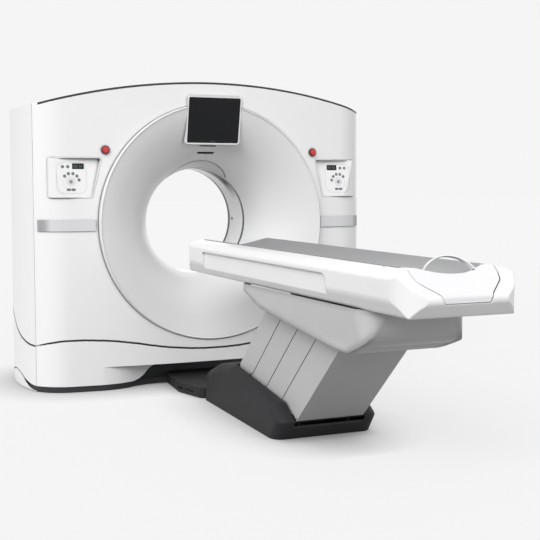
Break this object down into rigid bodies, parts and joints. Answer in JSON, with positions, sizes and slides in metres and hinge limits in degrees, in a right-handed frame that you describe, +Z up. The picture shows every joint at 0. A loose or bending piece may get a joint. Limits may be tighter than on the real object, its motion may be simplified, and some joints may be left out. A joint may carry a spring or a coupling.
{
  "type": "ct scanner",
  "caption": "Computed tomography scanner: a white ring gantry with a flared bore, a lifting patient table on a leaning pedestal and a cradle that slides into the bore.",
  "frame": {"origin": "on the floor under the scan plane, on the underside of the gantry floor plate", "axes": "+X across the table to the right as seen from the table's foot, +Y along the bore from the table into the gantry, +Z up"},
  "size_m": [2.356, 3.8551, 1.926],
  "materials": {
    "cover_white": "satin gloss",
    "trim_black": "satin",
    "screen_black": "gloss",
    "light_panel": "gloss",
    "window_film": "gloss",
    "ring_black": "gloss",
    "band_silver": "satin",
    "collar_red": "gloss",
    "button_red": "gloss",
    "key_grey": "satin",
    "base_charcoal": "satin",
    "slat_paint": "satin",
    "shroud_grey": "satin",
    "cradle_grey": "satin",
    "handle_metal": "satin",
    "frame_paint": "powder coat",
    "machined_steel": "machined",
    "cast_aluminium": "cast",
    "motor_paint": "painted",
    "module_plastic": "satin",
    "cabinet_paint": "powder coat",
    "belt_rubber": "matt",
    "contact_brass": "machined"
  },
  "bodies": {
    "gantry_and_base": {"base_weldment": "frame_paint", "stator_frame": "frame_paint", "bearing_outer_race": "machined_steel", "drive_motor": "motor_paint", "drive_belt": "belt_rubber", "brush_block": "module_plastic", "cooling_fans": "module_plastic", "power_cabinet": "cabinet_paint", "plinth": "trim_black", "front_cover": "cover_white", "rear_cover": "cover_white", "side_covers": "cover_white", "lower_front_cover": "cover_white", "lower_rear_cover": "cover_white", "lower_side_covers": "cover_white", "top_grille": "trim_black", "front_funnel": "cover_white", "rear_funnel": "cover_white", "bore_trim_rings": "ring_black", "scan_window": "window_film", "breathing_light_panel": "light_panel", "laser_window": "trim_black", "monitor_housing": "cover_white", "monitor_screen": "screen_black", "trim_bands": "band_silver", "control_panels": "cover_white", "panel_displays": "screen_black", "stop_collars": "collar_red", "floor_link_cover": "base_charcoal", "table_base_cover": "base_charcoal", "table_base_frame": "frame_paint", "lift_gearmotor": "motor_paint"},
    "rotor": {"rotor_drum": "cast_aluminium", "bearing_inner_race": "machined_steel", "slip_ring": "contact_brass", "x_ray_tube": "motor_paint", "collimator": "cast_aluminium", "detector_array": "module_plastic", "hv_generator": "motor_paint", "heat_exchanger": "cast_aluminium", "balance_weights": "machined_steel"},
    "motor_pulley": {"motor_pulley": "machined_steel"},
    "rear_arms": {"rear_lift_arms": "frame_paint", "rear_slat": "slat_paint"},
    "front_arms": {"front_lift_arms": "frame_paint", "front_slat": "slat_paint"},
    "front_middle_slats": {"front_middle_slats": "slat_paint"},
    "rear_middle_slats": {"rear_middle_slats": "slat_paint"},
    "table_top": {"table_body_shell": "cover_white", "table_shroud": "shroud_grey", "table_frame": "frame_paint", "cradle_motor": "motor_paint"},
    "drive_roller": {"drive_roller": "machined_steel"},
    "cradle": {"cradle": "cradle_grey", "cradle_end_cap": "cover_white", "hoop_handle": "handle_metal"},
    "left_stop_button": {"left_stop_button": "button_red"},
    "right_stop_button": {"right_stop_button": "button_red"},
    "left_start_key": {"left_start_key": "key_grey"},
    "right_start_key": {"right_start_key": "key_grey"}
  },
  "joints": [
    {"name": "rotor_spin", "type": "hinge", "parent": "gantry_and_base", "child": "rotor", "pos_m": [0, 0, 1.04], "axis": [0, 1, 0], "continuous": true},
    {"name": "motor_spin", "type": "hinge", "parent": "gantry_and_base", "child": "motor_pulley", "pos_m": [0.63985, 0.2, 0.41994], "axis": [0, 1, 0], "continuous": true},
    {"name": "table_lift", "type": "hinge", "parent": "gantry_and_base", "child": "rear_arms", "pos_m": [0, -1.49382, 0.22891], "axis": [-1, 0, 0], "range_deg": [-33, 5]},
    {"name": "table_level", "type": "hinge", "parent": "rear_arms", "child": "table_top", "pos_m": [0, -2.00577, 0.70631], "axis": [-1, 0, 0], "range_deg": [-5, 33]},
    {"name": "front_arm_swing", "type": "hinge", "parent": "gantry_and_base", "child": "front_arms", "pos_m": [0, -2.123, 0.136], "axis": [-1, 0, 0], "range_deg": [-33, 5]},
    {"name": "front_slat_swing", "type": "hinge", "parent": "gantry_and_base", "child": "front_middle_slats", "pos_m": [0, -1.91327, 0.16697], "axis": [-1, 0, 0], "range_deg": [-33, 5]},
    {"name": "rear_slat_swing", "type": "hinge", "parent": "gantry_and_base", "child": "rear_middle_slats", "pos_m": [0, -1.70355, 0.19794], "axis": [-1, 0, 0], "range_deg": [-33, 5]},
    {"name": "cradle_travel", "type": "slide", "parent": "table_top", "child": "cradle", "axis": [0, 1, 0], "range_m": [0, 1.7]},
    {"name": "roller_spin", "type": "hinge", "parent": "table_top", "child": "drive_roller", "pos_m": [0, -0.85, 0.8426], "axis": [-1, 0, 0], "range_deg": [-30, 3300]},
    {"name": "left_stop_push", "type": "slide", "parent": "gantry_and_base", "child": "left_stop_button", "axis": [0.0849, 0.9964, 0], "range_m": [0, 0.005], "stiffness_N_per_m": 1500, "springref_m": -0.002},
    {"name": "right_stop_push", "type": "slide", "parent": "gantry_and_base", "child": "right_stop_button", "axis": [-0.0849, 0.9964, 0], "range_m": [0, 0.005], "stiffness_N_per_m": 1500, "springref_m": -0.002},
    {"name": "left_key_push", "type": "slide", "parent": "gantry_and_base", "child": "left_start_key", "axis": [0, 0.9939, -0.11], "range_m": [0, 0.002], "stiffness_N_per_m": 800, "springref_m": -0.001},
    {"name": "right_key_push", "type": "slide", "parent": "gantry_and_base", "child": "right_start_key", "axis": [0, 0.9939, -0.11], "range_m": [0, 0.002], "stiffness_N_per_m": 800, "springref_m": -0.001}
  ],
  "couplings": [
    {"joint": "motor_spin", "follows": "rotor_spin", "ratio": 7.9333},
    {"joint": "table_level", "follows": "table_lift", "ratio": -1},
    {"joint": "front_arm_swing", "follows": "table_lift", "ratio": 1},
    {"joint": "front_slat_swing", "follows": "table_lift", "ratio": 1},
    {"joint": "rear_slat_swing", "follows": "table_lift", "ratio": 1},
    {"joint": "roller_spin", "follows": "cradle_travel", "rad_per_m": 33.333}
  ]
}
